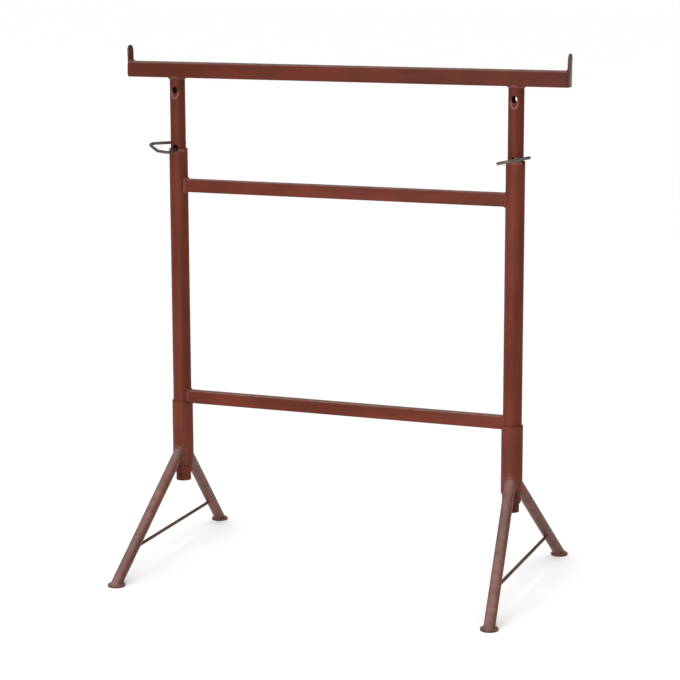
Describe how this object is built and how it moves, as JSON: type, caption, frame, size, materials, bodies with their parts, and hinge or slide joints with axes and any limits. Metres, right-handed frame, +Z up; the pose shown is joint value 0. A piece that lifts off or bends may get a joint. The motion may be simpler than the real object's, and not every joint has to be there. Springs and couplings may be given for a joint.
{
  "type": "folding trestle",
  "caption": "Height-adjustable steel trestle: a bar on telescoping posts held by wire pins, with splayed leg pairs that swivel flat into the frame.",
  "frame": {"origin": "on the floor, midway between the two posts, under the top bar's centre line", "axes": "+Z up, +X along the top bar to the right, -Y to the front"},
  "size_m": [1.052, 0.6418, 1.2005],
  "materials": {
    "frame_paint": "satin red-brown primer",
    "leg_paint": "satin red-brown primer, dusty",
    "wire_steel": "worn dark paint on bent wire"
  },
  "bodies": {
    "base_frame": {"left_outer_post": "frame_paint", "right_outer_post": "frame_paint", "upper_rail": "frame_paint", "lower_rail": "frame_paint", "left_retaining_ring": "wire_steel", "right_retaining_ring": "wire_steel"},
    "top_frame": {"top_bar": "frame_paint", "left_end_stop": "frame_paint", "right_end_stop": "frame_paint", "left_inner_post": "frame_paint", "right_inner_post": "frame_paint"},
    "left_pin": {"left_locking_pin": "wire_steel"},
    "right_pin": {"right_locking_pin": "wire_steel"},
    "left_legs": {"left_sleeve": "frame_paint", "left_front_leg": "leg_paint", "left_rear_leg": "leg_paint", "left_tie_rod": "wire_steel", "left_front_foot": "leg_paint", "left_rear_foot": "leg_paint"},
    "right_legs": {"right_sleeve": "frame_paint", "right_front_leg": "leg_paint", "right_rear_leg": "leg_paint", "right_tie_rod": "wire_steel", "right_front_foot": "leg_paint", "right_rear_foot": "leg_paint"}
  },
  "joints": [
    {"name": "height_slide", "type": "slide", "parent": "base_frame", "child": "top_frame", "axis": [0, 0, 1], "range_m": [0, 0.532]},
    {"name": "left_pin_pull", "type": "slide", "parent": "top_frame", "child": "left_pin", "axis": [0, -0.977, -0.2131], "range_m": [0, 0.061]},
    {"name": "right_pin_pull", "type": "slide", "parent": "top_frame", "child": "right_pin", "axis": [0.977, 0, 0.2131], "range_m": [0, 0.067]},
    {"name": "left_leg_swivel", "type": "hinge", "parent": "base_frame", "child": "left_legs", "pos_m": [-0.405, 0, 0.3], "axis": [0, 0, 1], "range_deg": [-91.6, 0]},
    {"name": "right_leg_swivel", "type": "hinge", "parent": "base_frame", "child": "right_legs", "pos_m": [0.405, 0, 0.3], "axis": [0, 0, 1], "range_deg": [0, 88.4]}
  ]
}
